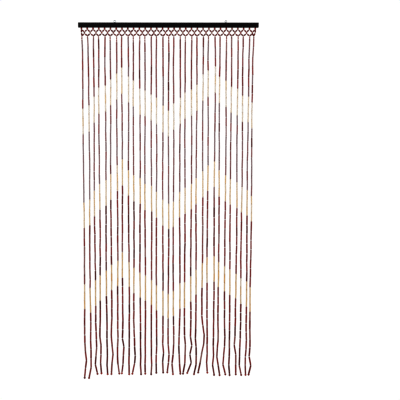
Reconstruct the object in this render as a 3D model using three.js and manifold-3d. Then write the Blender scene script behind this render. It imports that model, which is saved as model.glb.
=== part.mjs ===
// Bamboo bead door curtain on its hanging rail, in millimetres.
// +X runs along the rail, +Z is up and the front faces -Y. The origin is the centre of the rail's back face.
import * as THREE from 'three';
import { mergeVertices } from 'three/addons/utils/BufferGeometryUtils.js';
import Module from 'manifold-3d';

const wasm = await Module();
wasm.setup();

// Rail: a painted wooden batten with softened long edges.
const railLength = 900;
const railHeight = 23;
const railDepth = 14;
const railEdge = 1.5;

// Screw eyes in the top of the rail, not quite evenly spaced.
const leftEyeX = -268;
const rightEyeX = 287;
const eyeOuterDiameter = 11.6;
const eyeWireDiameter = 2.2;
const eyeNeck = 0.8;
const shankDiameter = 2.6;
const shankLength = 11;

// Room between one piece and the next that carries it.
const seatGap = 0.3;

// Net heading. Drops are measured down from the underside of the rail.
const strandCount = 31;
const strandPitch = 28.95;
const footDrop = 8.8;
const linkTopDrop = 22.5;
const linkBottomDrop = 30.3;
const rootDrop = 41.6;
const legThickness = 5.6;
const stemWidth = 6.8;
const linkWidth = 6.8;

// The strands' roots are drawn together in pairs, and three of them stray from that.
const pairShift = 1.75;
const unpairedStrand = 15;
const rootStrays = { 2: 3, 15: 2, 31: -5 };

// Strands. The overall drop runs from the top of the rail to the end of an ordinary strand.
const overallDrop = 1800;
const strandWidth = 6.6;
const beadPitch = 46.5;
const endBeadDiameter = 9.4;
const jointsInTail = 6;
const beadsPerUpperStep = 3;

// Slow waves that keep a hanging strand from being quite straight. The wave in depth is the quicker one, and each
// strand starts its waves a turn further on than the last.
const swayAcross = 1.2;
const swayInDepth = 1.6;
const swayLength = 1050;
const depthSwayPace = 1.4;
const swayTurn = 2.1;

// A few strands, the outermost among them, lean sideways below the heading, over this drop.
const leanSettleDrop = 120;
const leans = { 1: 3, 2: 4, 24: 2, 30: -4, 31: -4 };

// How much lower than an ordinary strand each of these ends, or higher where it is negative.
const extraDrops = {
  1: 20, 2: 20, 3: -2, 4: -4, 7: -4, 8: -4, 10: -2, 12: -2, 14: -7, 15: -9, 16: -10,
  18: -3, 19: -3, 20: -8, 22: -11, 23: -8, 24: 3, 25: 5, 27: 5, 29: 4, 30: 3, 31: 2,
};

// Kinks where the thread turns at a bead joint near the end of a strand. The columns are how far the end and the
// bead joints above it stand to the right of the strand's own line.
const kinks = [
  { strand: 1, end: -4, first: 1, second: 7, third: 3, fourth: 1 },
  { strand: 2, end: -12, first: 0, second: 0, third: -1, fourth: -1 },
  { strand: 3, end: 11, first: -2, second: 2, third: 6, fourth: 4 },
  { strand: 4, end: 4, first: 0, second: 2, third: 4, fourth: -2 },
  { strand: 6, end: -2, first: 1, second: 6, third: 1, fourth: -2 },
  { strand: 7, end: 7, first: -1, second: -2, third: -1, fourth: 1 },
  { strand: 8, end: -8, first: -2, second: 1, third: 3, fourth: -4 },
  { strand: 10, end: -11, first: 3, second: 6, third: 3, fourth: 2 },
  { strand: 14, end: -2, first: -3, second: -2, third: 0, fourth: 0 },
  { strand: 15, end: 3, first: 0, second: 4, third: 0, fourth: 1 },
  { strand: 16, end: -6, first: 1, second: 5, third: 0, fourth: 0 },
  { strand: 17, end: -2, first: -7, second: -2, third: 2, fourth: 1 },
  { strand: 18, end: 6, first: 1, second: -2, third: -3, fourth: -3 },
  { strand: 19, end: -8, first: 3, second: 4, third: 5, fourth: 1 },
  { strand: 20, end: -21, first: 2, second: -5, third: 5, fourth: -2 },
  { strand: 21, end: -8, first: 3, second: 4, third: 2, fourth: -1 },
  { strand: 22, end: -20, first: -8, second: 1, third: 10, fourth: 12 },
  { strand: 23, end: 3, first: -2, second: 1, third: 0, fourth: 1 },
  { strand: 24, end: 6, first: -3, second: 1, third: -1, fourth: 0 },
  { strand: 25, end: 10, first: 2, second: -4, third: -2, fourth: 2 },
  { strand: 26, end: 7, first: -8, second: -4, third: 1, fourth: 2 },
  { strand: 27, end: 5, first: 0, second: 1, third: 1, fourth: 1 },
  { strand: 28, end: 3, first: 2, second: 3, third: -5, fourth: -2 },
  { strand: 29, end: 6, first: -6, second: -4, third: -4, fourth: -2 },
  { strand: 30, end: 1, first: -1, second: -1, third: 1, fourth: 3 },
  { strand: 31, end: -6, first: 6, second: -2, third: 2, fourth: 1 },
];

// The ends of the other strands stray by up to this, and a kinked tail comes forward by this share of its swing.
const strayEnd = 3;
const forwardShare = 0.25;

const railTop = railHeight / 2;
const railUnderside = -railHeight / 2;
const stringLineY = -railDepth / 2;

const blackPaint = new THREE.MeshStandardMaterial({ color: '#141316', roughness: 0.45, metalness: 0 });
const zincPlate = new THREE.MeshStandardMaterial({ color: '#b9bcc0', roughness: 0.35, metalness: 1 });
const stainedBamboo = new THREE.MeshStandardMaterial({ color: '#5e2220', roughness: 0.4, metalness: 0 });

function toSolid(geometry) {
  const bare = geometry.clone();
  bare.deleteAttribute('normal');
  bare.deleteAttribute('uv');
  const merged = mergeVertices(bare, 1e-4);
  return new wasm.Manifold(new wasm.Mesh({
    numProp: 3,
    vertProperties: new Float32Array(merged.attributes.position.array),
    triVerts: new Uint32Array(merged.index.array),
  }));
}

function toGeometry(solid) {
  const mesh = solid.getMesh();
  const geometry = new THREE.BufferGeometry();
  geometry.setAttribute('position', new THREE.BufferAttribute(mesh.vertProperties, 3));
  geometry.setIndex(new THREE.BufferAttribute(mesh.triVerts, 1));
  geometry.computeVertexNormals();
  return geometry;
}

function namedMesh(name, solid, material) {
  const mesh = new THREE.Mesh(toGeometry(solid), material);
  mesh.name = name;
  return mesh;
}

// Turns a geometry drawn upright in XY, with its depth along Z, to stand upright in XZ.
function standUp(geometry) {
  return geometry.rotateX(Math.PI / 2);
}

// The rail's section is a rectangle with cut corners, drawn in YZ and drawn out along X.
function railBlank() {
  const front = -railDepth;
  const section = new THREE.Shape([
    new THREE.Vector2(front + railEdge, railUnderside),
    new THREE.Vector2(-railEdge, railUnderside),
    new THREE.Vector2(0, railUnderside + railEdge),
    new THREE.Vector2(0, railTop - railEdge),
    new THREE.Vector2(-railEdge, railTop),
    new THREE.Vector2(front + railEdge, railTop),
    new THREE.Vector2(front, railTop - railEdge),
    new THREE.Vector2(front, railUnderside + railEdge),
  ]);
  const batten = new THREE.ExtrudeGeometry(section, { depth: railLength, bevelEnabled: false });
  const alongX = new THREE.Matrix4().makeBasis(
    new THREE.Vector3(0, 1, 0),
    new THREE.Vector3(0, 0, 1),
    new THREE.Vector3(1, 0, 0),
  );
  batten.applyMatrix4(alongX);
  batten.translate(-railLength / 2, 0, 0);
  return toSolid(batten);
}

// An upright round bar from bottomZ to topZ on the string line.
function uprightBar(x, bottomZ, topZ, diameter) {
  const sides = 12;
  const bar = new THREE.CylinderGeometry(diameter / 2, diameter / 2, topZ - bottomZ, sides);
  standUp(bar);
  bar.translate(x, stringLineY, (bottomZ + topZ) / 2);
  return toSolid(bar);
}

// Each eye's hole in the rail is blind and clears the shank all round and at its end.
function rail() {
  const holeDiameter = shankDiameter + 2 * seatGap;
  const holeBottom = railTop - shankLength - seatGap;
  let batten = railBlank();
  for (const x of [leftEyeX, rightEyeX]) {
    batten = batten.subtract(uprightBar(x, holeBottom, railTop + railEdge, holeDiameter));
  }
  return batten;
}

// A closed wire ring that faces the front, on a straight shank that goes down into the rail.
function screwEye(x) {
  const wireRadius = eyeWireDiameter / 2;
  const ringRadius = eyeOuterDiameter / 2 - wireRadius;
  const ringZ = railTop + eyeNeck + eyeOuterDiameter / 2;
  const wireSides = 8;
  const ringSteps = 20;
  const ring = new THREE.TorusGeometry(ringRadius, wireRadius, wireSides, ringSteps);
  standUp(ring);
  ring.translate(x, stringLineY, ringZ);
  const shankTop = ringZ - ringRadius;
  return toSolid(ring).add(uprightBar(x, railTop - shankLength, shankTop, shankDiameter));
}

// Apexes of the heading lie evenly along the rail, one for each strand.
function apexX(index) {
  return (index - (strandCount - 1) / 2) * strandPitch;
}

// Below the heading the strands hang in pairs, each drawn a little towards its partner, and one has no partner.
function rootX(index) {
  const unpaired = unpairedStrand - 1;
  const ownX = apexX(index) + (rootStrays[index + 1] ?? 0);
  if (index === unpaired) {
    return ownX;
  }
  const place = index < unpaired ? index : index - unpaired - 1;
  const isLeftOfPair = place % 2 === 0;
  return ownX + (isLeftOfPair ? pairShift : -pairShift);
}

// The heading is a flat lattice of six-sided cells. From the foot of each stem a leg slants down either way to the
// upright links midway to the next stems, and below the links the legs slant back to the strands' roots. The outline
// follows the outer edges of the legs.
function headingLattice() {
  const topZ = railUnderside - seatGap;
  const footZ = railUnderside - footDrop;
  const linkTopZ = railUnderside - linkTopDrop;
  const linkBottomZ = railUnderside - linkBottomDrop;
  const rootZ = railUnderside - rootDrop;
  const halfStem = stemWidth / 2;
  const halfLink = linkWidth / 2;
  const halfPitch = strandPitch / 2;
  const upperSlope = (footZ - linkTopZ) / halfPitch;
  const lowerSlope = (linkBottomZ - rootZ) / halfPitch;
  const upperRise = legThickness / 2 * Math.hypot(1, upperSlope);
  const lowerRise = legThickness / 2 * Math.hypot(1, lowerSlope);
  const last = strandCount - 1;
  const point = (x, z) => new THREE.Vector2(x, z);

  const outline = [];
  const shoulderZ = footZ + upperRise - halfStem * upperSlope;
  for (let index = 0; index <= last; index += 1) {
    const x = apexX(index);
    if (index > 0) {
      outline.push(point(x - halfPitch, linkTopZ + upperRise), point(x - halfStem, shoulderZ));
    }
    outline.push(point(x - halfStem, topZ), point(x + halfStem, topZ));
    if (index < last) {
      outline.push(point(x + halfStem, shoulderZ));
    }
  }
  const hipZ = rootZ - lowerRise + halfStem * lowerSlope;
  for (let index = last; index >= 0; index -= 1) {
    const x = rootX(index);
    if (index < last) {
      outline.push(point(apexX(index) + halfPitch, linkBottomZ - lowerRise), point(x + halfStem, hipZ));
    }
    outline.push(point(x + halfStem, rootZ - lowerRise), point(x - halfStem, rootZ - lowerRise));
    if (index > 0) {
      outline.push(point(x - halfStem, hipZ));
    }
  }

  // The outline was gathered clockwise, and a shape with holes is drawn anticlockwise.
  const lattice = new THREE.Shape(outline.reverse());
  const cellShoulderZ = linkTopZ + halfLink * upperSlope - upperRise;
  const cellHipZ = linkBottomZ - halfLink * lowerSlope + lowerRise;
  for (let index = 0; index <= last; index += 1) {
    const x = apexX(index);
    const root = rootX(index);
    const rightX = x + halfPitch - halfLink;
    const leftX = x - halfPitch + halfLink;
    const right = [point(rightX, cellShoulderZ), point(rightX, cellHipZ)];
    const left = [point(leftX, cellHipZ), point(leftX, cellShoulderZ)];
    const besideStemZ = footZ - upperRise - halfStem * upperSlope;
    const besideRootZ = rootZ + lowerRise + halfStem * lowerSlope;
    if (index === 0) {
      lattice.holes.push(new THREE.Path([
        point(x + halfStem, besideStemZ), ...right, point(root + halfStem, besideRootZ),
      ]));
    } else if (index === last) {
      lattice.holes.push(new THREE.Path([
        point(x - halfStem, besideStemZ), point(root - halfStem, besideRootZ), ...left,
      ]));
    } else {
      lattice.holes.push(new THREE.Path([
        point(x, footZ - upperRise), ...right, point(root, rootZ + lowerRise), ...left,
      ]));
    }
  }
  const sheet = new THREE.ExtrudeGeometry(lattice, { depth: legThickness, bevelEnabled: false });
  standUp(sheet);
  sheet.translate(0, stringLineY + legThickness / 2, 0);
  return toSolid(sheet);
}

// Where a strand's thread passes at a given height: its root, its lean, a slow sway and the kinks in its tail.
function threadPoint(index, z, tipZ) {
  const strand = index + 1;
  const drop = railUnderside - rootDrop - z;
  const settled = THREE.MathUtils.smoothstep(drop, 0, leanSettleDrop);
  const phase = 2 * Math.PI * drop / swayLength + strand * swayTurn;
  const swing = tailSwing(strand, z, tipZ);
  const x = rootX(index) + settled * ((leans[strand] ?? 0) + swayAcross * Math.sin(phase)) + swing;
  const forward = forwardShare * Math.abs(swing);
  const y = stringLineY + settled * swayInDepth * Math.cos(phase * depthSwayPace) - forward;
  return new THREE.Vector3(x, y, z);
}

// Sideways swing in the tail, straight from one bead joint to the next and none above the last joint of the tail.
function tailSwing(strand, z, tipZ) {
  const row = kinks.find((kink) => kink.strand === strand);
  const stray = strayEnd * Math.sin(2 * swayTurn * strand);
  const swings = row
    ? [row.end, row.first, row.second, row.third, row.fourth, row.fourth / 2, 0]
    : [stray, -stray / 3, stray / 2, 0, 0, 0, 0];
  const joint = Math.min((z - tipZ) / beadPitch, jointsInTail);
  const below = Math.min(Math.floor(joint), jointsInTail - 1);
  return THREE.MathUtils.lerp(swings[below], swings[below + 1], joint - below);
}

// A strand is a four-sided bar that bends at bead joints, three beads apart above and at each bead in its tail, and
// swells at its foot to the round end bead.
function strand(index) {
  const tipZ = railTop - overallDrop - (extraDrops[index + 1] ?? 0);
  const tailTopZ = tipZ + beadPitch * jointsInTail;
  const upperStep = beadPitch * beadsPerUpperStep;
  const rootZ = railUnderside - rootDrop;
  const halfStrand = strandWidth / 2;
  const halfBead = endBeadDiameter / 2;
  const sections = [{ z: rootZ, half: halfStrand }];
  const upperSteps = Math.floor((rootZ - tailTopZ) / upperStep);
  for (let step = upperSteps; step >= 1; step -= 1) {
    sections.push({ z: tailTopZ + upperStep * step, half: halfStrand });
  }
  for (let joint = jointsInTail; joint >= 1; joint -= 1) {
    sections.push({ z: tipZ + beadPitch * joint, half: halfStrand });
  }
  sections.push({ z: tipZ + endBeadDiameter, half: halfStrand });
  sections.push({ z: tipZ + halfBead, half: halfBead });
  sections.push({ z: tipZ, half: halfStrand / 2 });

  const steps = sections.length - 1;
  const sides = 4;
  const squareRadius = Math.SQRT2;
  const bar = new THREE.CylinderGeometry(squareRadius, squareRadius, steps, sides, steps);
  bar.rotateY(Math.PI / sides);
  standUp(bar);
  const position = bar.attributes.position;
  for (let corner = 0; corner < position.count; corner += 1) {
    const section = sections[Math.round(steps / 2 - position.getZ(corner))];
    const centre = threadPoint(index, section.z, tipZ);
    const x = centre.x + position.getX(corner) * section.half;
    const y = centre.y + position.getY(corner) * section.half;
    position.setXYZ(corner, x, y, section.z);
  }
  return toSolid(bar);
}

// The heading and all the strands hang together as one piece.
function beadCurtain() {
  let curtain = headingLattice();
  for (let index = 0; index < strandCount; index += 1) {
    curtain = curtain.add(strand(index));
  }
  return curtain;
}

const doorCurtain = new THREE.Group();
doorCurtain.add(namedMesh('rail', rail(), blackPaint));
doorCurtain.add(namedMesh('screw_eye_left', screwEye(leftEyeX), zincPlate));
doorCurtain.add(namedMesh('screw_eye_right', screwEye(rightEyeX), zincPlate));
doorCurtain.add(namedMesh('bead_curtain', beadCurtain(), stainedBamboo));

export default doorCurtain;
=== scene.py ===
import math

import bpy
import numpy as np
from mathutils import Euler, Matrix, Vector


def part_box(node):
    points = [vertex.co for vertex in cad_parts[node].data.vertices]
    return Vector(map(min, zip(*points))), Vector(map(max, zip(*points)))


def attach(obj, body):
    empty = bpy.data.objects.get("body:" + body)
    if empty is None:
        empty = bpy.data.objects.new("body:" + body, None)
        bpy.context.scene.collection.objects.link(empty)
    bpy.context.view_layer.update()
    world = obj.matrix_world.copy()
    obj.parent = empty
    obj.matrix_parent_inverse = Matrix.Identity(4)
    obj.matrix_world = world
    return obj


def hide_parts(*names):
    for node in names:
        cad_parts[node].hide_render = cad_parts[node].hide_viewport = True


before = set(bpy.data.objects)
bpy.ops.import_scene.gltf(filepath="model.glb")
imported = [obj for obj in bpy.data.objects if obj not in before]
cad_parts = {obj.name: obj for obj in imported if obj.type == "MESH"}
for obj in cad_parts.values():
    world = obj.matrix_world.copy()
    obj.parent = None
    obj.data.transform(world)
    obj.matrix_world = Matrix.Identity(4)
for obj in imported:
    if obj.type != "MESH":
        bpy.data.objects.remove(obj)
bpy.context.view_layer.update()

# The view. The photograph was taken three metres away and two thirds of a metre below the rail, looking
# slightly down, with the curtain left of the frame's middle. Sizes in this script are in millimetres.
METRES = 0.001
FRAME_PIXELS = 400
FOCAL_PIXELS = 600
SENSOR_WIDTH = 36
CURTAIN_MIDDLE_PIXELS = (168.17, 204.21)
CAMERA_PLACE = (0, -3058, -687.5)
CAMERA_DOWN_DEGREES = 3.92
CAMERA_ROLL_DEGREES = 0.06

lens = bpy.data.cameras.new("camera")
lens.sensor_width = SENSOR_WIDTH
lens.lens = FOCAL_PIXELS / FRAME_PIXELS * SENSOR_WIDTH
lens.shift_x = 0.5 - CURTAIN_MIDDLE_PIXELS[0] / FRAME_PIXELS
lens.shift_y = CURTAIN_MIDDLE_PIXELS[1] / FRAME_PIXELS - 0.5
camera = bpy.data.objects.new("camera", lens)
camera.location = Vector(CAMERA_PLACE) * METRES
looking_down = Euler((math.radians(90 - CAMERA_DOWN_DEGREES), 0, 0)).to_matrix()
rolled = Matrix.Rotation(math.radians(CAMERA_ROLL_DEGREES), 3, "Z")
camera.rotation_euler = (looking_down @ rolled).to_euler()
bpy.context.collection.objects.link(camera)
bpy.context.scene.camera = camera


# The rail. A softwood batten, planed, its long edges softened with sandpaper and brushed with black
# paint. Two holes in its top take the screw eyes, and a row of small ones under it takes the threads.
def linear(code):
    """The linear colour, with alpha, of an sRGB hex code."""
    channels = [int(code[place : place + 2], 16) / 255 for place in (1, 3, 5)]
    return [c / 12.92 if c <= 0.04045 else ((c + 0.055) / 1.055) ** 2.4 for c in channels] + [1.0]


def add_node(tree, kind, inputs=None, stops=(), **settings):
    """Adds a node. An input that is another node's socket is linked, and any other is set as a value."""
    node = tree.nodes.new(kind)
    for name, value in settings.items():
        setattr(node, name, value)
    for name, value in (inputs or {}).items():
        if isinstance(value, bpy.types.NodeSocket):
            tree.links.new(value, node.inputs[name])
        else:
            node.inputs[name].default_value = value
    for number, (place, colour) in enumerate(stops):
        ramp = node.color_ramp.elements
        stop = ramp[number] if number < len(ramp) else ramp.new(place)
        stop.position = place
        stop.color = colour
    return node


def start_material(name):
    """A new material whose node tree is cleared, and that tree."""
    material = bpy.data.materials.new(name)
    material.use_nodes = True
    tree = material.node_tree
    tree.nodes.clear()
    return material, tree


def finish_material(tree, **inputs):
    """The surface shader and the output. Underscores in the names of its inputs stand for spaces."""
    named = {name.replace("_", " "): value for name, value in inputs.items()}
    shader = add_node(tree, "ShaderNodeBsdfPrincipled", named)
    add_node(tree, "ShaderNodeOutputMaterial", {"Surface": shader.outputs["BSDF"]})


SHARP_EDGE_DEGREES = 42


def new_object(name, points, faces, material):
    """A smooth object of a mesh whose points are in millimetres."""
    mesh = bpy.data.meshes.new(name)
    mesh.from_pydata(np.asarray(points) * METRES, [], faces)
    mesh.materials.append(material)
    mesh.shade_smooth()
    mesh.set_sharp_from_angle(angle=math.radians(SHARP_EDGE_DEGREES))
    made = bpy.data.objects.new(name, mesh)
    bpy.context.collection.objects.link(made)
    return made


def give_attribute(made, name, kind, values):
    """Stores a value for each point of a mesh, for its material to read."""
    attribute = made.data.attributes.new(name, kind, "POINT")
    key = "vector" if kind == "FLOAT_VECTOR" else "value"
    attribute.data.foreach_set(key, np.asarray(values, dtype=np.float32).ravel())


def ring_faces(first, rings, sides, closed):
    """Quads between rings of points. Closed also joins the last ring to the first."""
    faces = []
    for ring in range(rings if closed else rings - 1):
        here = first + ring * sides
        there = first + (ring + 1) % rings * sides
        for side in range(sides):
            beside = (side + 1) % sides
            faces.append((here + side, here + beside, there + beside, there + side))
    return faces


rail_low, rail_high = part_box("rail")
RAIL_LENGTH = (rail_high.x - rail_low.x) / METRES
RAIL_DEPTH = (rail_high.y - rail_low.y) / METRES
RAIL_HEIGHT = (rail_high.z - rail_low.z) / METRES
RAIL_TOP = rail_high.z / METRES
RAIL_UNDERSIDE = rail_low.z / METRES
STRING_LINE_Y = (rail_low.y + rail_high.y) / 2 / METRES
RAIL_EDGE = 1.5
RAIL_EDGE_STEPS = 4
RAIL_END_BEVEL = 0.5
RAIL_STATIONS = 40
SCREW_EYES = {"screw_eye_left": -268, "screw_eye_right": 287}
SHANK_DIAMETER = 2.6
SHANK_LENGTH = 11
SHANK_ROOM = 0.3
STRAND_COUNT = 31
STRAND_PITCH = 28.95
THREAD_HOLE = 2.6
THREAD_HOLE_DEPTH = 5
HOLE_SIDES = 16
DRILL_OVERRUN = 1

# Rounded section of the rail, as places round its middle.
section = []
corner_middles = [(1, 1), (-1, 1), (-1, -1), (1, -1)]
for quarter, (side_y, side_z) in enumerate(corner_middles):
    for step in range(RAIL_EDGE_STEPS + 1):
        turn = math.radians(90 * quarter + 90 / RAIL_EDGE_STEPS * step)
        section.append((
            side_y * (RAIL_DEPTH / 2 - RAIL_EDGE) + RAIL_EDGE * math.cos(turn),
            side_z * (RAIL_HEIGHT / 2 - RAIL_EDGE) + RAIL_EDGE * math.sin(turn),
        ))
section = np.array(section)

# A planed batten is never quite even, so the stations along it stand in by up to a tenth of a millimetre.
PLANING_DEPTH = 0.05
LONG_PLANING_WAVE = 37
SHORT_PLANING_WAVE = 11


def planed_away(x):
    """How far the rail's surface stands in at a place along it."""
    return PLANING_DEPTH * (1 + math.sin(x / LONG_PLANING_WAVE) * math.sin(x / SHORT_PLANING_WAVE))


half_length = RAIL_LENGTH / 2
inner = np.linspace(-half_length + RAIL_END_BEVEL, half_length - RAIL_END_BEVEL, RAIL_STATIONS)
stations = [(-half_length, RAIL_END_BEVEL)]
stations += [(x, planed_away(x)) for x in inner]
stations += [(half_length, RAIL_END_BEVEL)]
points = []
for x, inset in stations:
    shrink = 1 - inset / np.array([RAIL_DEPTH / 2, RAIL_HEIGHT / 2])
    for y, z in section * shrink:
        points.append((x, STRING_LINE_Y + y, z))
sides = len(section)
faces = ring_faces(0, len(stations), sides, closed=False)
faces.append(tuple(range(sides))[::-1])
faces.append(tuple(range(len(points) - sides, len(points))))


def apex_x(index):
    """Where a strand's thread leaves the rail."""
    return (index - (STRAND_COUNT - 1) / 2) * STRAND_PITCH


cutter_points, cutter_faces = [], []
holes = [
    (x, RAIL_TOP - SHANK_LENGTH - SHANK_ROOM, RAIL_TOP + DRILL_OVERRUN, SHANK_DIAMETER / 2 + SHANK_ROOM)
    for x in SCREW_EYES.values()
]
holes += [
    (apex_x(index), RAIL_UNDERSIDE - DRILL_OVERRUN, RAIL_UNDERSIDE + THREAD_HOLE_DEPTH, THREAD_HOLE / 2)
    for index in range(STRAND_COUNT)
]
for x, low, high, radius in holes:
    first = len(cutter_points)
    for z in (low, high):
        for side in range(HOLE_SIDES):
            turn = 2 * math.pi * side / HOLE_SIDES
            y = STRING_LINE_Y + radius * math.sin(turn)
            cutter_points.append((x + radius * math.cos(turn), y, z))
    cutter_faces += ring_faces(first, 2, HOLE_SIDES, closed=False)
    cutter_faces.append(tuple(range(first, first + HOLE_SIDES))[::-1])
    cutter_faces.append(tuple(range(first + HOLE_SIDES, first + 2 * HOLE_SIDES)))

# Black paint on planed softwood. The eye gets a soft sheen that changes along the brush strokes, grain
# lines that show faintly through the paint, and edges rubbed to a warmer grey.
GRAIN_WIDTH = 1.6
GRAIN_LENGTH = 160
BRUSH_WIDTH = 0.7
BRUSH_LENGTH = 60
black_paint, tree = start_material("brushed black paint on softwood")
place = add_node(tree, "ShaderNodeTexCoord").outputs["Object"]
stretched = add_node(tree, "ShaderNodeVectorMath", {
    0: place,
    1: (1 / (GRAIN_LENGTH * METRES), 1 / (GRAIN_WIDTH * METRES), 1 / (GRAIN_WIDTH * METRES)),
}, operation="MULTIPLY")
grain = add_node(tree, "ShaderNodeTexNoise", {
    "Vector": stretched.outputs["Vector"], "Scale": 1.0,
    "Detail": 5.0, "Roughness": 0.6, "Distortion": 0.4,
})
brushed = add_node(tree, "ShaderNodeVectorMath", {
    0: place,
    1: (1 / (BRUSH_LENGTH * METRES), 1 / (BRUSH_WIDTH * METRES), 1 / (BRUSH_WIDTH * METRES)),
}, operation="MULTIPLY")
strokes = add_node(tree, "ShaderNodeTexNoise", {
    "Vector": brushed.outputs["Vector"], "Scale": 1.0, "Detail": 3.0,
})
paint_tone = add_node(tree, "ShaderNodeValToRGB", {"Fac": grain.outputs["Fac"]}, stops=[
    (0.3, linear("#0c0b0c")), (0.72, linear("#1a1819")),
])
rubbed = add_node(tree, "ShaderNodeAttribute", attribute_name="rubbed")
rub = add_node(tree, "ShaderNodeMath", {
    0: rubbed.outputs["Fac"], 1: strokes.outputs["Fac"],
}, operation="MULTIPLY")
rub_edge = add_node(tree, "ShaderNodeMapRange", {
    "Value": rub.outputs["Value"], "From Min": 0.42, "From Max": 0.68, "To Min": 0.0, "To Max": 0.6,
})
colour = add_node(tree, "ShaderNodeMix", {
    "Factor": rub_edge.outputs["Result"], "A": paint_tone.outputs["Color"], "B": linear("#574a42"),
}, data_type="RGBA")
gloss = add_node(tree, "ShaderNodeMapRange", {
    "Value": strokes.outputs["Fac"], "From Min": 0.3, "From Max": 0.7, "To Min": 0.5, "To Max": 0.66,
})
heights = add_node(tree, "ShaderNodeMath", {
    0: grain.outputs["Fac"], 1: strokes.outputs["Fac"],
}, operation="ADD")
relief = add_node(tree, "ShaderNodeBump", {
    "Height": heights.outputs["Value"], "Strength": 0.5, "Distance": 0.12 * METRES,
})
finish_material(
    tree, Base_Color=colour.outputs["Result"], Roughness=gloss.outputs["Result"], IOR=1.5,
    Specular_IOR_Level=0.25, Normal=relief.outputs["Normal"],
)

blank = new_object("painted_rail", points, faces, black_paint)
cutter = new_object("rail_holes", cutter_points, cutter_faces, black_paint)
drill = blank.modifiers.new("holes", "BOOLEAN")
drill.object = cutter
drill.operation = "DIFFERENCE"
drill.solver = "EXACT"
drilled = bpy.data.meshes.new_from_object(blank.evaluated_get(bpy.context.evaluated_depsgraph_get()))
blank.modifiers.clear()
blank.data = drilled
bpy.data.objects.remove(cutter)
drilled.set_sharp_from_angle(angle=math.radians(SHARP_EDGE_DEGREES))

# The paint is rubbed thin within this reach of each edge.
RUB_REACH = 2.2
places = np.array([point.co for point in drilled.vertices]) / METRES
from_side = RAIL_DEPTH / 2 - np.abs(places[:, 1] - STRING_LINE_Y)
from_top = RAIL_HEIGHT / 2 - np.abs(places[:, 2])
from_end = half_length - np.abs(places[:, 0])
from_long_edge = np.hypot(from_side, from_top)
from_end_edge = np.hypot(from_end, np.minimum(from_side, from_top))
near_edge = np.minimum(from_long_edge, from_end_edge)
give_attribute(blank, "rubbed", "FLOAT", np.clip(1 - near_edge / RUB_REACH, 0, 1))
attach(blank, "root")
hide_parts("rail")


# The screw eyes. Steel wire bent to a ring on a threaded shank, zinc plated, and turned by hand into the
# top of the rail until the ring faces the front.
EYE_DIAMETER = 11.6
WIRE_DIAMETER = 2.2
EYE_NECK = 0.8
EYE_SIDES = 16
RING_STEPS = 44
RING_OPENING_DEGREES = 14
THREAD_TURN = 1.3
THREAD_RISE = 0.3
THREAD_START_SHARE = 0.1
THREAD_STOP_DROP = 2
SHANK_STEPS_PER_TURN = 8
SHANK_TIP_SHARE = 0.25
SHANK_TAPER = 5


def swept_tube(path, radii, sides, swell=0.0):
    """Points and faces of a closed tube along a path that stays off Y. Swell is added to the radii."""
    path = np.array(path, dtype=float)
    along = np.gradient(path, axis=0)
    along /= np.linalg.norm(along, axis=1)[:, None]
    across = np.cross(along, (0.0, 1.0, 0.0))
    across /= np.linalg.norm(across, axis=1)[:, None]
    deep = np.cross(along, across)
    turns = np.arange(sides) * 2 * math.pi / sides
    reach = np.asarray(radii)[:, None] + swell
    rings = (
        path[:, None]
        + (reach * np.cos(turns))[..., None] * across[:, None]
        + (reach * np.sin(turns))[..., None] * deep[:, None]
    )
    points = rings.reshape(-1, 3)
    faces = ring_faces(0, len(path), sides, closed=False)
    faces.append(tuple(range(sides))[::-1])
    faces.append(tuple(range(len(points) - sides, len(points))))
    return points, faces


# Bright zinc plate on steel wire. The eye gets a cool grey metal whose tone, gloss and surface are
# mottled by the plating bath.
PLATING_PATCH = 1.4
zinc_plate, tree = start_material("bright zinc plate on steel wire")
place = add_node(tree, "ShaderNodeTexCoord").outputs["Object"]
patches = add_node(tree, "ShaderNodeTexNoise", {
    "Vector": place, "Scale": 1 / (PLATING_PATCH * METRES), "Detail": 4.0, "Roughness": 0.6,
})
zinc_tone = add_node(tree, "ShaderNodeValToRGB", {"Fac": patches.outputs["Fac"]}, stops=[
    (0.3, linear("#7f8388")), (0.7, linear("#b4b7bb")),
])
zinc_gloss = add_node(tree, "ShaderNodeMapRange", {
    "Value": patches.outputs["Fac"], "From Min": 0.3, "From Max": 0.7, "To Min": 0.24, "To Max": 0.42,
})
zinc_relief = add_node(tree, "ShaderNodeBump", {
    "Height": patches.outputs["Fac"], "Strength": 0.4, "Distance": 0.04 * METRES,
})
finish_material(
    tree, Base_Color=zinc_tone.outputs["Color"], Metallic=1.0, Roughness=zinc_gloss.outputs["Result"],
    Normal=zinc_relief.outputs["Normal"],
)

wire = WIRE_DIAMETER / 2
ring_radius = EYE_DIAMETER / 2 - wire
ring_z = RAIL_TOP + EYE_NECK + EYE_DIAMETER / 2
shank_bottom = RAIL_TOP - SHANK_LENGTH
shank_top = ring_z - ring_radius
shank_steps = int(SHANK_LENGTH / THREAD_TURN * SHANK_STEPS_PER_TURN)
heights = np.linspace(shank_bottom, shank_top, shank_steps)
ring_turns = np.linspace(0, math.radians(360 - RING_OPENING_DEGREES), RING_STEPS)[1:]

# The shank tapers to its tip, is drawn in a little under the ring, and has a groove wound round it.
up_shank = (heights - shank_bottom) / (shank_top - shank_bottom)
tapered = SHANK_DIAMETER / 2 * np.clip(SHANK_TIP_SHARE + up_shank * SHANK_TAPER, 0, 1)
radii = np.concatenate([tapered, np.full(RING_STEPS - 1, wire)])
radii[shank_steps - 2] = (wire + SHANK_DIAMETER / 2) / 2
helix = heights[:, None] / THREAD_TURN + np.arange(EYE_SIDES) / EYE_SIDES
threaded = (up_shank > THREAD_START_SHARE) & (heights < RAIL_TOP - THREAD_STOP_DROP)
grooves = np.zeros((len(radii), EYE_SIDES))
grooves[:shank_steps] = -THREAD_RISE * (0.5 + 0.5 * np.cos(2 * math.pi * helix)) * threaded[:, None]

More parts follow.
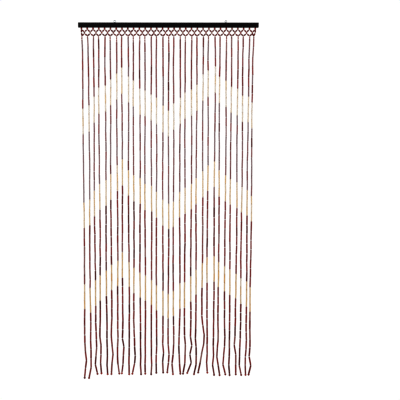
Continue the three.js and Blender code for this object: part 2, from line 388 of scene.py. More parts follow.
for name, eye_x in SCREW_EYES.items():
    path = [(eye_x, STRING_LINE_Y, z) for z in heights]
    for turn in ring_turns:
        ring_x = eye_x + ring_radius * math.sin(turn)
        path.append((ring_x, STRING_LINE_Y, ring_z - ring_radius * math.cos(turn)))
    eye_points, eye_faces = swept_tube(path, radii, EYE_SIDES, grooves)
    eye = new_object(name.replace("screw_eye", "zinc_eye"), eye_points, eye_faces, zinc_plate)
    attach(eye, "root")
    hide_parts(name)


# How the strands hang. Every strand leaves the net under the rail, draws a little towards its partner,
# and hangs on its thread in straight beads that kink where they meet. The chart gives where the pale
# beads of the three zigzag bands start, as drops below the top of the rail.
PAIR_SHIFT = 1.75
UNPAIRED_STRAND = 15
ROOT_DROP = 41.6
ROOT_STRAYS = {2: 3, 15: 2, 31: -5}
OVERALL_DROP = 1800
EXTRA_DROPS = {
    # strand: how much lower than an ordinary strand it ends
    1: 20, 2: 20, 3: -2, 4: -4, 7: -4, 8: -4, 10: -2, 12: -2, 14: -7, 15: -9, 16: -10,
    18: -3, 19: -3, 20: -8, 22: -11, 23: -8, 24: 3, 25: 5, 27: 5, 29: 4, 30: 3, 31: 2,
}
LEAN_SETTLE_DROP = 120
LEANS = {1: 3, 2: 4, 24: 2, 30: -4, 31: -4}
SWAY_ACROSS = 1.2
SWAY_IN_DEPTH = 1.6
SWAY_LENGTH = 1050
DEPTH_SWAY_PACE = 1.4
SWAY_TURN = 2.1

# A kink also swings the strand forwards, by this share of its swing to the side.
FORWARD_SHARE = 0.25

BAND_CHART = {
    # strand: (first band, second band, third band)
    1: (425, 900, 1320),
    2: (410, 885, 1340),
    3: (365, 840, 1300),
    4: (320, 805, 1275),
    5: (310, 785, 1250),
    6: (280, 755, 1220),
    7: (250, 710, 1200),
    8: (220, 680, 1155),
    9: (265, 735, 1205),
    10: (285, 760, 1235),
    11: (325, 775, 1260),
    12: (335, 805, 1275),
    13: (355, 815, 1300),
    14: (370, 845, 1325),
    15: (410, 885, 1355),
    16: (435, 905, 1370),
    17: (400, 895, 1355),
    18: (370, 845, 1315),
    19: (345, 825, 1310),
    20: (330, 805, 1280),
    21: (305, 775, 1245),
    22: (255, 740, 1210),
    23: (235, 710, 1180),
    24: (215, 690, 1175),
    25: (265, 735, 1205),
    26: (285, 760, 1225),
    27: (315, 780, 1245),
    28: (325, 795, 1265),
    29: (360, 820, 1290),
    30: (365, 835, 1305),
    31: (395, 865, 1335),
}

TAIL_KINKS = {
    # strand: (end, first joint, second joint, third joint, fourth joint), counted from the end up. Each
    # is how far it stands to the right of the strand's own line.
    1: (-4, 1, 7, 3, 1),
    2: (-12, 0, 0, -1, -1),
    3: (11, -2, 2, 6, 4),
    4: (4, 0, 2, 4, -2),
    6: (-2, 1, 6, 1, -2),
    7: (7, -1, -2, -1, 1),
    8: (-8, -2, 1, 3, -4),
    10: (-11, 3, 6, 3, 2),
    14: (-2, -3, -2, 0, 0),
    15: (3, 0, 4, 0, 1),
    16: (-6, 1, 5, 0, 0),
    17: (-2, -7, -2, 2, 1),
    18: (6, 1, -2, -3, -3),
    19: (-8, 3, 4, 5, 1),
    20: (-21, 2, -5, 5, -2),
    21: (-8, 3, 4, 2, -1),
    22: (-20, -8, 1, 10, 12),
    23: (3, -2, 1, 0, 1),
    24: (6, -3, 1, -1, 0),
    25: (10, 2, -4, -2, 2),
    26: (7, -8, -4, 1, 2),
    27: (5, 0, 1, 1, 1),
    28: (3, 2, 3, -5, -2),
    29: (6, -6, -4, -4, -2),
    30: (1, -1, -1, 1, 3),
    31: (-6, 6, -2, 2, 1),
}


def root_x(index):
    """Where a strand hangs below the net."""
    unpaired = UNPAIRED_STRAND - 1
    place = apex_x(index) + ROOT_STRAYS.get(index + 1, 0)
    if index == unpaired:
        return place
    place_in_half = index if index < unpaired else index - unpaired - 1
    return place + (PAIR_SHIFT if place_in_half % 2 == 0 else -PAIR_SHIFT)


def tip_z(index):
    """The lowest point of a strand."""
    return RAIL_TOP - OVERALL_DROP - EXTRA_DROPS.get(index + 1, 0)


root_z = RAIL_UNDERSIDE - ROOT_DROP


def hanging_point(index, z, swing):
    """Where a strand's thread passes at a height, given how far a kink swings it to the right there."""
    strand = index + 1
    drop = root_z - z
    settled = min(max(drop / LEAN_SETTLE_DROP, 0), 1)
    settled = settled * settled * (3 - 2 * settled)
    phase = 2 * math.pi * drop / SWAY_LENGTH + strand * SWAY_TURN
    x = root_x(index) + settled * (LEANS.get(strand, 0) + SWAY_ACROSS * math.sin(phase)) + swing
    in_depth = settled * SWAY_IN_DEPTH * math.cos(phase * DEPTH_SWAY_PACE)
    return np.array([x, STRING_LINE_Y + in_depth - FORWARD_SHARE * abs(swing), z])


# Where the beads meet. They are counted off from the net down: small round starters, stained tubes to the
# first band, three natural tubes, stained tubes to the next band, and so on to the round bead at the end.
TUBE_LENGTH = 47.5
TAIL_TUBE_LENGTH = 46.5
PALE_TUBE_LENGTH = 43.6
PALE_TUBES = 3
STARTER_DIAMETER = 6.4
STARTER_PITCH = 7.8
MOST_STARTERS = 4
ROOT_GAP = 1.6
END_BEAD_DIAMETER = 10.4
KNOT_DIAMETER = 1.9
LENGTH_SPREAD = 1.3
JOINT_SPREAD = 0.7
JOINT_SPREAD_IN_DEPTH = 1.0

# The end of a strand without kinks of its own strays this far, and the joint above an end bead lies this
# share of the way from the end's swing to that of the next joint.
STRAY_END = 3
END_BEAD_SHARE = 0.18

chance = np.random.RandomState(31)


def split_evenly(top, bottom, count):
    """Heights of the joints between beads of uneven length, from just below top down to bottom."""
    heights = np.linspace(top, bottom, count + 1)[1:]
    shifts = chance.normal(0, LENGTH_SPREAD, count - 1)
    heights[:-1] += np.clip(shifts, -2 * LENGTH_SPREAD, 2 * LENGTH_SPREAD)
    return list(heights)


strands = []
for index in range(STRAND_COUNT):
    tip = tip_z(index)
    bands = [RAIL_TOP - drop for drop in BAND_CHART[index + 1]]
    top = root_z - ROOT_GAP
    choices = []
    for starters in range(1, MOST_STARTERS + 1):
        room = top - starters * STARTER_PITCH - bands[0]
        tubes = max(round(room / TUBE_LENGTH), 1)
        choices.append((abs(room / tubes - TUBE_LENGTH), starters, tubes))
    starters, tubes = min(choices)[1:]
    first_tube_top = top - starters * STARTER_PITCH
    joints = [(first_tube_top, "starters")]
    joints += [(z, "stained") for z in split_evenly(first_tube_top, bands[0], tubes)]
    for number, band_top in enumerate(bands):
        for _ in range(PALE_TUBES):
            band_top -= PALE_TUBE_LENGTH + chance.uniform(-LENGTH_SPREAD, LENGTH_SPREAD)
            joints.append((band_top, f"band {number}"))
        is_last = number == len(bands) - 1
        bottom = tip + KNOT_DIAMETER + END_BEAD_DIAMETER if is_last else bands[number + 1]
        length = TAIL_TUBE_LENGTH if is_last else TUBE_LENGTH
        count = max(round((band_top - bottom) / length), 1)
        joints += [(z, "stained") for z in split_evenly(band_top, bottom, count)]

    stray = STRAY_END * math.sin(2 * SWAY_TURN * (index + 1))
    swings = list(TAIL_KINKS.get(index + 1, (stray, -stray / 3, stray / 2, 0, 0)))
    swings += [swings[-1] / 2]
    from_tip = dict(zip(range(len(joints) - 1, 0, -1), swings[1:]))
    line = [hanging_point(index, root_z, 0)]
    for number, (z, _) in enumerate(joints):
        is_end = number == len(joints) - 1
        swing = from_tip.get(number + 1, 0)
        if is_end:
            swing = swings[0] * (1 - END_BEAD_SHARE) + swings[1] * END_BEAD_SHARE
        place = hanging_point(index, z, swing)
        if number > 0 and not is_end:
            place[0] += chance.uniform(-JOINT_SPREAD, JOINT_SPREAD)
            place[1] += chance.uniform(-JOINT_SPREAD_IN_DEPTH, JOINT_SPREAD_IN_DEPTH)
        line.append(place)
    line.append(hanging_point(index, tip, swings[0]))
    strands.append({
        "line": line,
        "kinds": [kind for _, kind in joints] + ["end"],
        "starters": starters,
    })


# Bead shapes. Every bead is a closed ring of wood round its bore, a profile turned about its own axis.
# Tubes are sawn from thin bamboo cane, so they are not quite round or straight, and their ends are eased.
TUBE_SIDES = 14
ROUND_SIDES = 14
ROUND_STEPS = 9
CANE_OVALITY = 0.035
CANE_BOW = 0.35
CANE_TAPER = 0.025
CANE_WAIST = (-0.02, 0.01)
CANE_SHOULDER = 0.14
SHOULDER_TAPER = 0.7
EASED_END = 0.5
EASE_BREAK = 0.3
LEAST_WALL = 0.4
INNER_BORE_SHARE = 0.8
PATTERN_SHIFT = 500

# Nearness to an end is 1 on the sawn face and 0 along the side, and has these values round the eased edge.
NEAR_ON_EDGE = 0.9
NEAR_BEHIND_EDGE = 0.62


class Beading:
    """One mesh of beads, whose points keep their place on the bead, its tone and painted glare, and its
    ends.
    """

    def __init__(self):
        self.points, self.faces, self.places = [], [], []
        self.tones, self.fades, self.ends = [], [], []
        self.count = 0

    def add(self, start, finish, profile, sides, tone, fade=0.0, ovality=0.0, bow=0.0):
        """Adds a bead. Its profile's rows are distance from the start, radius and nearness to an end."""
        axis = np.array(finish) - np.array(start)
        length = np.linalg.norm(axis)
        axis = axis / length
        across = np.cross(axis, (0.0, 1.0, 0.0))
        across /= np.linalg.norm(across)
        deep = np.cross(across, axis)
        profile = np.array(profile)
        turns = np.arange(sides) * 2 * math.pi / sides + chance.uniform(0, 2 * math.pi)
        uneven = 1 + ovality * np.cos(2 * turns + chance.uniform(0, 6)) + ovality / 2 * np.cos(3 * turns)
        reach = profile[:, 1:2] * uneven
        bend = bow * np.sin(math.pi * profile[:, 0] / length) * chance.uniform(-1, 1)
        bend_turn = chance.uniform(0, 2 * math.pi)
        local_x = reach * np.cos(turns) + (bend * math.cos(bend_turn))[:, None]
        local_y = reach * np.sin(turns) + (bend * math.sin(bend_turn))[:, None]
        local_z = np.repeat(profile[:, 0:1], sides, axis=1)
        points = (
            np.array(start)
            + local_x[..., None] * across
            + local_y[..., None] * deep
            + local_z[..., None] * axis
        ).reshape(-1, 3)
        shift = chance.uniform(-PATTERN_SHIFT, PATTERN_SHIFT, 3)
        self.places.append(np.stack([local_x, local_y, local_z], axis=-1).reshape(-1, 3) + shift)
        self.points.append(points)
        self.tones.append(np.full(len(points), tone))
        self.fades.append(np.full(len(points), fade))
        self.ends.append(np.repeat(profile[:, 2], sides))
        self.faces += ring_faces(self.count, len(profile), sides, closed=True)
        self.count += len(points)

    def make(self, name, material, slot):
        """The beads as one object, riding on the object's only body."""
        made = new_object(name, np.concatenate(self.points), self.faces, material)
        give_attribute(made, "bead_place", "FLOAT_VECTOR", np.concatenate(self.places))
        give_attribute(made, "bead_tone", "FLOAT", np.concatenate(self.tones))
        # Each bead's share of the grey-pink painted glare.
        give_attribute(made, "bead_fade", "FLOAT", np.concatenate(self.fades))
        give_attribute(made, "bead_end", "FLOAT", np.concatenate(self.ends))
        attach(made, "root")
        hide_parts("bead_curtain")


def tube_profile(length, radius, bore):
    """A sawn tube with eased ends, a slight taper and waist, and its bore."""
    taper = chance.uniform(-CANE_TAPER, CANE_TAPER)
    waist = chance.uniform(*CANE_WAIST)
    ease = min(EASED_END, radius - bore - LEAST_WALL)
    first, last = radius * (1 - taper), radius * (1 + taper)
    return [
        (0, first - ease, 1.0),
        (ease * EASE_BREAK, first - ease * EASE_BREAK, NEAR_ON_EDGE),
        (ease, first, NEAR_BEHIND_EDGE),
        (length * CANE_SHOULDER, radius * (1 - taper * SHOULDER_TAPER + waist / 2), 0.0),
        (length / 2, radius * (1 + waist), 0.0),
        (length * (1 - CANE_SHOULDER), radius * (1 + taper * SHOULDER_TAPER + waist / 2), 0.0),
        (length - ease, last, NEAR_BEHIND_EDGE),
        (length - ease * EASE_BREAK, last - ease * EASE_BREAK, NEAR_ON_EDGE),
        (length, last - ease, 1.0),
        (length, bore, 1.0),
        (0, bore, 1.0),
    ]


def round_profile(diameter, bore):
    """A turned round bead with a bore through it."""
    radius = diameter / 2
    lowest = math.asin(bore / radius)
    turns = np.linspace(lowest, math.pi - lowest, ROUND_STEPS)
    rows = [(radius - radius * math.cos(turn), radius * math.sin(turn), 0.0) for turn in turns]
    rows[0] = (*rows[0][:2], 1.0)
    rows[-1] = (*rows[-1][:2], 1.0)
    rows.append((rows[-1][0], bore * INNER_BORE_SHARE, 1.0))
    rows.append((rows[0][0], bore * INNER_BORE_SHARE, 1.0))
    return rows


# Stained bamboo. Cane stained dark with a red-brown spirit stain and thinly varnished. The eye gets
# mahogany tubes that run from near black to brick red, with a grey-pink painted glare that is stronger
# higher up, fine fibres along each one, stain gathered at the sawn ends and a soft gloss.
FIBRE_WIDTH = 0.55
FIBRE_LENGTH = 14
BLOTCH_SIZE = 7
FIBRE_CONTRAST = 0.34
BLOTCH_CONTRAST = 0.3


def bamboo_fibres(tree):
    """Fibre streaks and soft blotches on a bead, from its own place values in millimetres."""
    own_place = add_node(tree, "ShaderNodeAttribute", attribute_name="bead_place").outputs["Vector"]
    drawn = add_node(tree, "ShaderNodeVectorMath", {
        0: own_place, 1: (1 / FIBRE_WIDTH, 1 / FIBRE_WIDTH, 1 / FIBRE_LENGTH),
    }, operation="MULTIPLY")
    fibres = add_node(tree, "ShaderNodeTexNoise", {
        "Vector": drawn.outputs["Vector"], "Scale": 1.0, "Detail": 4.0, "Roughness": 0.62,
    })
    blotches = add_node(tree, "ShaderNodeTexNoise", {
        "Vector": own_place, "Scale": 1 / BLOTCH_SIZE, "Detail": 3.0, "Roughness": 0.5,
    })
    return fibres.outputs["Fac"], blotches.outputs["Fac"]


def bamboo_surface(tree, fibres, blotches, tones, glare_colour, pooled, worn, least_gloss, most_gloss):
    """Colour from a bead's tone, painted glare, fibres and ends, with gloss and relief from the same
    fibres.
    """
    tone = add_node(tree, "ShaderNodeAttribute", attribute_name="bead_tone").outputs["Fac"]
    end = add_node(tree, "ShaderNodeAttribute", attribute_name="bead_end").outputs["Fac"]
    streaked = add_node(tree, "ShaderNodeMath", {
        0: fibres, 1: FIBRE_CONTRAST, 2: tone,
    }, operation="MULTIPLY_ADD")
    mottled = add_node(tree, "ShaderNodeMath", {
        0: blotches, 1: BLOTCH_CONTRAST, 2: streaked.outputs["Value"],
    }, operation="MULTIPLY_ADD")
    level = add_node(tree, "ShaderNodeMath", {
        0: mottled.outputs["Value"], 1: (FIBRE_CONTRAST + BLOTCH_CONTRAST) / 2,
    }, operation="SUBTRACT")
    ramp = add_node(tree, "ShaderNodeValToRGB", {"Fac": level.outputs["Value"]}, stops=tones)
    # Painted glare: the colour is mixed towards a pale grey pink by each bead's glare share.
    fade = add_node(tree, "ShaderNodeAttribute", attribute_name="bead_fade").outputs["Fac"]
    glared = add_node(tree, "ShaderNodeMix", {
        "Factor": fade, "A": ramp.outputs["Color"], "B": glare_colour,
    }, data_type="RGBA")
    pool = add_node(tree, "ShaderNodeMapRange", {
        "Value": end, "From Min": 0.1, "From Max": 0.7, "To Min": 0.0, "To Max": 0.55,
    })
    dark_end = add_node(tree, "ShaderNodeMix", {
        "Factor": pool.outputs["Result"], "A": glared.outputs["Result"], "B": pooled,
    }, data_type="RGBA")
    patchy = add_node(tree, "ShaderNodeMath", {0: end, 1: blotches}, operation="MULTIPLY")
    rub = add_node(tree, "ShaderNodeMapRange", {
        "Value": patchy.outputs["Value"],
        "From Min": 0.44, "From Max": 0.56, "To Min": 0.0, "To Max": 0.7,
    })
    colour = add_node(tree, "ShaderNodeMix", {
        "Factor": rub.outputs["Result"], "A": dark_end.outputs["Result"], "B": worn,
    }, data_type="RGBA")
    gloss = add_node(tree, "ShaderNodeMapRange", {
        "Value": blotches, "From Min": 0.3, "From Max": 0.7, "To Min": least_gloss, "To Max": most_gloss,
    })
    relief = add_node(tree, "ShaderNodeBump", {
        "Height": fibres, "Strength": 0.55, "Distance": 0.09 * METRES,
    })
    finish_material(
        tree, Base_Color=colour.outputs["Result"], Roughness=gloss.outputs["Result"], IOR=1.5,
        Specular_IOR_Level=0.14, Normal=relief.outputs["Normal"],
    )


stained_bamboo, tree = start_material("spirit-stained varnished bamboo")
fibres, blotches = bamboo_fibres(tree)
bamboo_surface(
    tree, fibres, blotches,
    tones=[
        (0.0, linear("#66140f")), (0.22, linear("#86221c")), (0.48, linear("#a0332b")),
        (0.75, linear("#9b5a54")), (1.0, linear("#ab827b")),
    ],
    # The first colour is the grey-pink painted glare, then stain gathered at the ends, then wear.
    glare_colour=linear("#988487"), pooled=linear("#4d0f0c"), worn=linear("#a06a4a"),
    least_gloss=0.42, most_gloss=0.58,
)

# Natural bamboo. Cane left its own colour and thinly varnished. The eye gets straw yellow with tan
# fibres, warmer at the sawn ends.
natural_bamboo, tree = start_material("natural varnished bamboo")
fibres, blotches = bamboo_fibres(tree)
bamboo_surface(
    tree, fibres, blotches,
    tones=[
        (0.0, linear("#cb9a60")), (0.35, linear("#dab583")),
        (0.65, linear("#dac5a8")), (1.0, linear("#d9d2ca")),
    ],
    # Natural tubes get no painted glare, so the first colour here goes unused.
    glare_colour=linear("#dbd4cb"), pooled=linear("#bf9769"), worn=linear("#d4bd92"),
    least_gloss=0.38, most_gloss=0.52,
)


# The net heading. The threads come down from the rail in pairs through a short bead, part, and meet the
# next pair's in a short bead between each two strands. A dark barrel bead sits on every slanting leg.
FOOT_DROP = 10.2
LINK_TOP_DROP = 22.5
LINK_BOTTOM_DROP = 30.3
STEM_BEAD_LENGTH = 10.4
STEM_BEAD_DIAMETER = 8
LINK_BEAD_LENGTH = 7.4
LINK_BEAD_DIAMETER = 7.4
STEM_ROOM = 0.5
LEG_BEAD_LENGTH = 12.2
LEG_BEAD_DIAMETER = 6.7
LEG_LENGTH_RANGE = (0.94, 1.03)
LEG_DIAMETER_RANGE = (0.93, 1.06)
LEG_PLACE_SPREAD = 0.03
ROOT_BEAD_DIAMETER = 4.6
EDGE_BEAD_LENGTH = 12.8
BARREL_NARROWING = 0.38
BARREL_ROUNDNESS = 3.2
SMALL_BORE = 0.75
THREAD_END_ROOM = 1
MIXED_TONES = (0.15, 0.9)
DARK_TONES = (0.0, 0.2)


def barrel_profile(length, diameter, bore):
    """A barrel-shaped bead with well rounded ends and a bore through it."""
    radius = diameter / 2
    along = np.linspace(0, 1, ROUND_STEPS)
    swell = 1 - BARREL_NARROWING * np.abs(2 * along - 1) ** BARREL_ROUNDNESS
    rows = [(length * t, radius * s, 0.0) for t, s in zip(along, swell)]
    rows[0] = (*rows[0][:2], 1.0)
    rows[-1] = (*rows[-1][:2], 1.0)
    return rows + [(length, bore, 1.0), (0, bore, 1.0)]


UPRIGHT = np.array([0.0, 0.0, 1.0])
UPPER_BEAD_SHARE = 0.54
LOWER_BEAD_SHARE = 0.53
EDGE_BEAD_SHARE = 0.5
net_beads = Beading()
net_threads = []
thread_top_z = RAIL_UNDERSIDE + THREAD_HOLE_DEPTH - THREAD_END_ROOM


def net_place(x, drop):
    """A place on the net, given how far below the rail's underside it is."""
    return np.array([x, STRING_LINE_Y, RAIL_UNDERSIDE - drop])


def net_barrel(middle, along, length, diameter, tones):
    """A barrel bead on a thread that runs along the given direction."""
    half = along / np.linalg.norm(along) * length / 2
    profile = barrel_profile(length, diameter, SMALL_BORE)
    net_beads.add(middle - half, middle + half, profile, ROUND_SIDES, chance.uniform(*tones))


def net_leg(start, finish, share, length=LEG_BEAD_LENGTH):
    """A leg of the net: its thread, and its bead with its middle at this share of the way along."""
    place = start + (finish - start) * (share + chance.uniform(-LEG_PLACE_SPREAD, LEG_PLACE_SPREAD))
    length = length * chance.uniform(*LEG_LENGTH_RANGE)
    diameter = LEG_BEAD_DIAMETER * chance.uniform(*LEG_DIAMETER_RANGE)
    net_barrel(place, start - finish, length, diameter, DARK_TONES)
    net_threads.append([start, finish])


for index in range(STRAND_COUNT):
    x = apex_x(index)
    foot = net_place(x, FOOT_DROP)
    root = net_place(root_x(index), ROOT_DROP)
    net_threads.append([np.array([x, STRING_LINE_Y, thread_top_z]), foot])
    stem_middle = net_place(x, STEM_ROOM + STEM_BEAD_LENGTH / 2)
    net_barrel(stem_middle, UPRIGHT, STEM_BEAD_LENGTH, STEM_BEAD_DIAMETER, MIXED_TONES)
    for side in (-1, 1):
        if 0 <= index + side < STRAND_COUNT:
            link_x = x + side * STRAND_PITCH / 2
            link_top, link_bottom = net_place(link_x, LINK_TOP_DROP), net_place(link_x, LINK_BOTTOM_DROP)
            net_leg(foot, link_top, UPPER_BEAD_SHARE)
            net_leg(link_bottom, root, LOWER_BEAD_SHARE)
            if side == 1:
                link_middle = (link_top + link_bottom) / 2
                net_barrel(link_middle, UPRIGHT, LINK_BEAD_LENGTH, LINK_BEAD_DIAMETER, MIXED_TONES)
                net_threads.append([link_top, link_bottom])
        else:
            middle = net_place(x, (FOOT_DROP + ROOT_DROP) / 2)
            net_leg(foot, middle, EDGE_BEAD_SHARE, EDGE_BEAD_LENGTH)
            net_leg(middle, root, EDGE_BEAD_SHARE, EDGE_BEAD_LENGTH)
    half_bead = np.array([0, 0, ROOT_BEAD_DIAMETER / 2])
    root_bead = round_profile(ROOT_BEAD_DIAMETER, SMALL_BORE)
    net_beads.add(root - half_bead, root + half_bead, root_bead, ROUND_SIDES, chance.uniform(*DARK_TONES))

net_beads.make("net_heading_beads", stained_bamboo, "stained_bamboo")


# The strands. Stained tubes and starters, threaded end to end with a little play, so each sits slightly
# askew. The lighter a tube's stain, the more painted glare its colour gets. Four neighbouring strands are
# one piece.
STRANDS_TOGETHER = 4
SIDE_PLAY = 0.3
BORE = 1.15
DIAMETER_SPREAD = 0.22

# Each value is for one section of a strand: above the first band, between two bands, or below the last.
SECTION_DIAMETERS = (6.45, 6.05, 6.85, 7.45)
SECTION_GAPS = ((0.4, 2.4), (0.4, 2.4), (0.6, 3.4), (0.8, 4.5))
SECTION_TONES = (0.54, 0.6, 0.42, 0.38)
# The range, times a tube's tone, of its grey-pink painted glare, strongest in the upper two sections.
SECTION_GLARES = ((0.1, 1.4), (0.5, 1.7), (0.0, 0.5), (0.0, 0.2))
MOST_GLARE = 0.9
TONE_SPREAD = 0.24
STRAND_TONE_SPREAD = 0.08

# The natural tubes of the three bands, from the upper band down, are strung on the same threads.
BAND_DIAMETERS = (6.6, 6.5, 6.9)
BAND_GAPS = (0.6, 2.6)
BAND_TONES = (0.88, 0.66, 0.54)
BAND_TONE_SPREAD = 0.1


def stained_tone(section_number, strand_shift):
    """A stained bead's tone, from near black at 0 to rosy brown at 1, mostly near that of its section."""
    middle_tone = SECTION_TONES[section_number] + strand_shift
    return float(np.clip(chance.normal(middle_tone, TONE_SPREAD), 0.0, 1.0))


def tube_on_thread(beading, above, below, diameter, gaps, tone, fade=0.0):
    """A tube between two joints of a strand, a little short of both and a little askew."""
    above, below = np.array(above), np.array(below)
    along = (below - above) / np.linalg.norm(below - above)
    gap = chance.uniform(*gaps)
    high = above + along * gap / 2 + chance.uniform(-SIDE_PLAY, SIDE_PLAY, 3) * (1, 1, 0)
    low = below - along * gap / 2 + chance.uniform(-SIDE_PLAY, SIDE_PLAY, 3) * (1, 1, 0)
    uneven = np.clip(chance.normal(0, DIAMETER_SPREAD), -2 * DIAMETER_SPREAD, 2 * DIAMETER_SPREAD)
    profile = tube_profile(np.linalg.norm(high - low), (diameter + uneven) / 2, BORE)
    beading.add(low, high, profile, TUBE_SIDES, tone, fade, CANE_OVALITY, CANE_BOW)


band_beads = [Beading(), Beading(), Beading()]
end_beads = Beading()
strand_threads = []
for first in range(0, STRAND_COUNT, STRANDS_TOGETHER):
    together = range(first, min(first + STRANDS_TOGETHER, STRAND_COUNT))
    stained = Beading()
    for index in together:
        strand = strands[index]
        line = strand["line"]
        strand_shift = chance.normal(0, STRAND_TONE_SPREAD)
        section_number = 0
        for number, kind in enumerate(strand["kinds"]):
            above, below = line[number], line[number + 1]
            if kind == "starters":
                hang = (below - above) / np.linalg.norm(below - above)
                for place in range(strand["starters"]):
                    low = below - hang * place * STARTER_PITCH
                    high = low - hang * STARTER_DIAMETER
                    profile = round_profile(STARTER_DIAMETER, SMALL_BORE)
                    stained.add(low, high, profile, ROUND_SIDES, chance.uniform(*MIXED_TONES))
            elif kind == "stained":
                diameter, gaps = SECTION_DIAMETERS[section_number], SECTION_GAPS[section_number]
                tone = stained_tone(section_number, strand_shift)
                # Painted glare, more on lighter tubes.
                fade = min(tone * chance.uniform(*SECTION_GLARES[section_number]), MOST_GLARE)
                tube_on_thread(stained, above, below, diameter, gaps, tone, fade)
            elif kind == "end":
                hang = (below - above) / np.linalg.norm(below - above)
                low = above + hang * END_BEAD_DIAMETER
                profile = round_profile(END_BEAD_DIAMETER, BORE)
                end_beads.add(low, above, profile, ROUND_SIDES, chance.uniform(0, 1))
            else:
                band_number = int(kind[-1])
                section_number = band_number + 1
                diameter, beading = BAND_DIAMETERS[band_number], band_beads[band_number]
                tone = float(np.clip(chance.normal(BAND_TONES[band_number], BAND_TONE_SPREAD), 0, 1))
                tube_on_thread(beading, above, below, diameter, BAND_GAPS, tone)
        strand_threads.append(line)
    name = f"stained_strands_{together[0] + 1:02d}_to_{together[-1] + 1:02d}"
    stained.make(name, stained_bamboo, "stained_bamboo")


# The zigzag bands. In each, three natural tubes on every strand, cut from unstained cane, stand higher or
# lower from strand to strand.
for beading, band_name in zip(band_beads, ("upper", "middle", "lower")):
    beading.make(f"{band_name}_zigzag_beads", natural_bamboo, "natural_bamboo")


# The end beads. Turned round beads, dyed a brighter red, that the threads are tied off under. The eye
# gets an even red wood with fine grain along each bead and a soft gloss.
GRAIN_ON_BEAD = 0.9
GRAIN_STRETCH = 8
GRAIN_CONTRAST = 0.5
red_wood, tree = start_material("red-dyed turned wood")
own_place = add_node(tree, "ShaderNodeAttribute", attribute_name="bead_place").outputs["Vector"]
tone = add_node(tree, "ShaderNodeAttribute", attribute_name="bead_tone").outputs["Fac"]
drawn = add_node(tree, "ShaderNodeVectorMath", {
    0: own_place, 1: (1 / GRAIN_ON_BEAD, 1 / GRAIN_ON_BEAD, 1 / (GRAIN_ON_BEAD * GRAIN_STRETCH)),
}, operation="MULTIPLY")
fine_grain = add_node(tree, "ShaderNodeTexNoise", {
    "Vector": drawn.outputs["Vector"], "Scale": 1.0, "Detail": 4.0, "Roughness": 0.6,
})
dye = add_node(tree, "ShaderNodeMath", {
    0: fine_grain.outputs["Fac"], 1: GRAIN_CONTRAST, 2: tone,
}, operation="MULTIPLY_ADD")
dyed = add_node(tree, "ShaderNodeValToRGB", {"Fac": dye.outputs["Value"]}, stops=[
    (0.1, linear("#5e150e")), (0.5, linear("#8c2114")), (1.0, linear("#b23824")),
])
dye_gloss = add_node(tree, "ShaderNodeMapRange", {
    "Value": fine_grain.outputs["Fac"], "From Min": 0.3, "From Max": 0.7, "To Min": 0.3, "To Max": 0.45,
})
dye_relief = add_node(tree, "ShaderNodeBump", {
    "Height": fine_grain.outputs["Fac"], "Strength": 0.4, "Distance": 0.06 * METRES,
})
finish_material(
    tree, Base_Color=dyed.outputs["Color"], Roughness=dye_gloss.outputs["Result"], IOR=1.5,
    Normal=dye_relief.outputs["Normal"],
)
end_beads.make("round_end_beads", red_wood, "stained_bamboo")


# The threads. Twisted nylon, undyed beige. One runs down through the beads of each strand and is tied in
# a small knot under the end bead, and the net's legs are the same thread. The eye gets two strands that
# wind round each other, each in sight for about the twist length before the other crosses it, with painted
# shade in the grooves between them.
THREAD_DIAMETER = 1.0
THREAD_SIDES = 6
TWIST_LENGTH = 2.4
KNOT_STEPS = 6
twisted_nylon, tree = start_material("twisted nylon thread")
place = add_node(tree, "ShaderNodeTexCoord").outputs["Object"]
strands_of_thread = add_node(tree, "ShaderNodeTexWave", {
    "Vector": place, "Scale": 1 / (math.pi * TWIST_LENGTH * METRES), "Distortion": 1.5, "Detail": 2.0,
}, wave_type="BANDS", bands_direction="DIAGONAL")
# Undyed beige, with painted shade darkening it in the grooves where the bump dips.
beige_and_groove_shade = add_node(tree, "ShaderNodeValToRGB", {"Fac": strands_of_thread.outputs["Fac"]}, stops=[
    (0.1, linear("#98805f")), (0.9, linear("#c4b092")),
])
thread_relief = add_node(tree, "ShaderNodeBump", {
    "Height": strands_of_thread.outputs["Fac"], "Strength": 0.6, "Distance": 0.15 * METRES,
})
finish_material(
    tree, Base_Color=beige_and_groove_shade.outputs["Color"], Roughness=0.55, IOR=1.5,
    Normal=thread_relief.outputs["Normal"],
)


def thread_object(name, lines):
    """Threads along lines, as one object."""
    points, faces, count = [], [], 0
    for line, radii in lines:
        tube_points, tube_faces = swept_tube(line, radii, THREAD_SIDES)
        points.append(tube_points)
        faces += [tuple(corner + count for corner in face) for face in tube_faces]
        count += len(tube_points)
    made = new_object(name, np.concatenate(points), faces, twisted_nylon)
    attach(made, "root")
    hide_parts("bead_curtain")


thread_object("net_heading_threads", [(line, np.full(2, THREAD_DIAMETER / 2)) for line in net_threads])
knotted = []
rounding = np.linspace(0, math.pi, KNOT_STEPS + 2)[1:-1]
knot_radii = [KNOT_DIAMETER / 2 * math.sin(turn) for turn in rounding]
for line in strand_threads:
    along = (line[-1] - line[-2]) / np.linalg.norm(line[-1] - line[-2])
    knot_middle = line[-1] - along * KNOT_DIAMETER / 2
    knot = [knot_middle - along * KNOT_DIAMETER / 2 * math.cos(turn) for turn in rounding]
    thread_radii = [THREAD_DIAMETER / 2] * (len(line) - 1)
    knotted.append((line[:-1] + knot, np.array(thread_radii + knot_radii)))
thread_object("strand_threads", knotted)


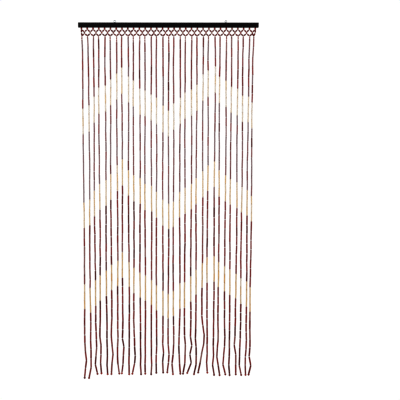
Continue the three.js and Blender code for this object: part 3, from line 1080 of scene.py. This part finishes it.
# The floor and the light. White paper lies under the curtain, bends up all round and closes overhead, lit
# so evenly that it stays white from every side. Two large soft lamps stand in front in a pale grey room.
FLOOR_DROP = 4300
PAPER_REACH = 8500
PAPER_BEND = 2500
PAPER_TOP = 6500
BEND_STEPS = 10
PAPER_SIDES = 48
PAPER_LIGHT = 0.935
ROOM_LIGHT = 0.7
paper, tree = start_material("white paper")
finish_material(
    tree, Base_Color=linear("#5a5a5a"), Roughness=0.9,
    Emission_Color=linear("#ffffff"), Emission_Strength=PAPER_LIGHT,
)
bend_turns = np.linspace(0, math.pi / 2, BEND_STEPS)
bend_reach = PAPER_REACH - PAPER_BEND * (1 - np.sin(bend_turns))
bend_rise = PAPER_BEND * (1 - np.cos(bend_turns))
paper_rings = list(zip(bend_reach, RAIL_TOP - FLOOR_DROP + bend_rise))
paper_rings += list(zip(bend_reach[::-1], PAPER_TOP - bend_rise[::-1]))
side_turns = [2 * math.pi * side / PAPER_SIDES for side in range(PAPER_SIDES)]
paper_points = [
    (reach * math.cos(turn), reach * math.sin(turn), z) for reach, z in paper_rings for turn in side_turns
]
paper_faces = ring_faces(0, len(paper_rings), PAPER_SIDES, closed=False)
paper_faces.append(tuple(range(PAPER_SIDES)))
paper_faces.append(tuple(range(len(paper_points) - PAPER_SIDES, len(paper_points))))
surround = new_object("paper_surround", paper_points, paper_faces, paper)
surround.visible_diffuse = False
surround.visible_glossy = False
surround.visible_shadow = False

world = bpy.data.worlds.new("pale grey room")
world.use_nodes = True
room = world.node_tree.nodes["Background"]
room.inputs["Color"].default_value = linear("#ffffff")
room.inputs["Strength"].default_value = ROOM_LIGHT
bpy.context.scene.world = world

LAMPS = {
    # name: (place, size, power in watts)
    "front_softbox": ((-1500, -2400, 900), 1800, 50),
    "side_fill": ((2300, -1700, -300), 1400, 20),
}
curtain_middle = Vector((0, STRING_LINE_Y, RAIL_TOP - OVERALL_DROP / 2)) * METRES
for name, (lamp_place, size, power) in LAMPS.items():
    lamp = bpy.data.lights.new(name, "AREA")
    lamp.shape = "SQUARE"
    lamp.size = size * METRES
    lamp.energy = power
    lamp_object = bpy.data.objects.new(name, lamp)
    lamp_object.location = Vector(lamp_place) * METRES
    aim = curtain_middle - lamp_object.location
    lamp_object.rotation_euler = aim.to_track_quat("-Z", "Y").to_euler()
    bpy.context.collection.objects.link(lamp_object)

# The photograph was made small after it was taken, which leaves thin dark beads on white darker than
# light alone would. The view prints them as dark, and the colours of the materials are lighter to suit.
PRINT_CONTRAST = 2.0
bpy.context.scene.view_settings.view_transform = "Standard"
bpy.context.scene.view_settings.look = "None"
bpy.context.scene.view_settings.gamma = 1 / PRINT_CONTRAST
